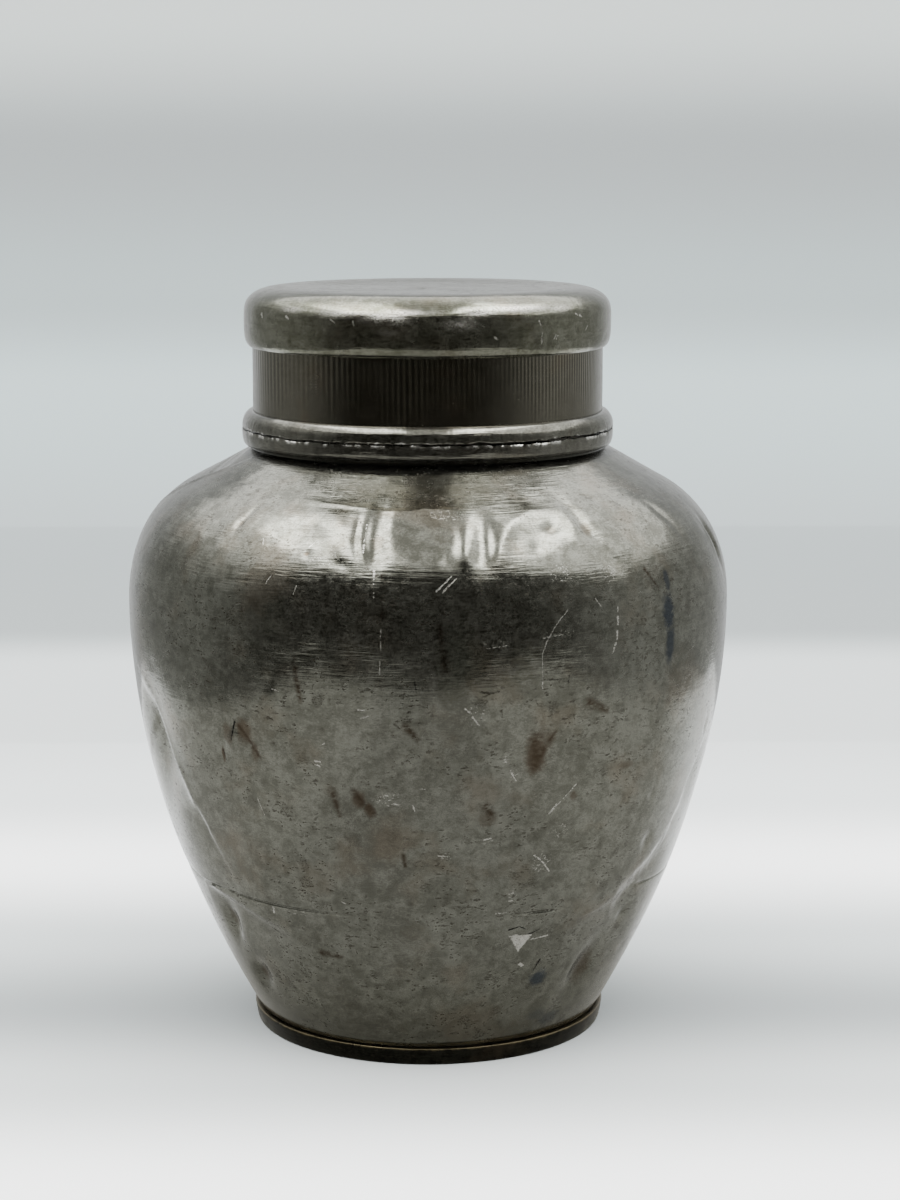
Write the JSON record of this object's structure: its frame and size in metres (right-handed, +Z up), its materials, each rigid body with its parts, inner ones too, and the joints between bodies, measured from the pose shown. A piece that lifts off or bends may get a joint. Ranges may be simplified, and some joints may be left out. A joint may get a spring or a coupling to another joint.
{
  "type": "tea caddy",
  "caption": "Round-bellied pewter tea caddy on a foot ring, with a beaded slip-on cap over a neck closed by a plugged inner lid.",
  "frame": {"origin": "centre of the circle on which the foot ring stands, at the lowest point", "axes": "+Z up the turning axis towards the cap; the body is round, so +X and +Y are any two level directions"},
  "size_m": [0.1208, 0.1208, 0.15],
  "materials": {
    "foot_ring": "dull dark grey-green patinated pewter",
    "base_plate": "dull patinated pewter",
    "lower_body": "worn dark pewter, mottled and pitted",
    "upper_body": "worn dark pewter with turning lines, dents and scratches",
    "neck_tube": "bare pewter rubbed by the cap",
    "collar_ring": "polished pewter, chipped at the parting line",
    "cap_bead": "polished pewter, chipped at the parting line",
    "cap_skirt": "dark brownish pewter with fine upright chatter marks",
    "cap_top": "satin pewter, scuffed bright along the round edge",
    "inner_lid": "satin pewter, less tarnished than the outside"
  },
  "bodies": {
    "vessel": {"foot_ring": "foot_ring", "base_plate": "base_plate", "lower_body": "lower_body", "upper_body": "upper_body", "neck_tube": "neck_tube", "collar_ring": "collar_ring"},
    "cap": {"cap_bead": "cap_bead", "cap_skirt": "cap_skirt", "cap_top": "cap_top"},
    "inner_lid": {"inner_lid_plate": "inner_lid", "inner_lid_plug": "inner_lid", "inner_lid_knob": "inner_lid"}
  },
  "joints": [
    {"name": "cap_lift", "type": "slide", "parent": "vessel", "child": "cap", "axis": [0, 0, 1], "range_m": [0, 0.1]},
    {"name": "inner_lid_lift", "type": "slide", "parent": "vessel", "child": "inner_lid", "axis": [0, 0, 1], "range_m": [0, 0.04]}
  ],
  "couplings": [
    {"joint": "inner_lid_lift", "follows": "cap_lift", "ratio": 0.4}
  ]
}
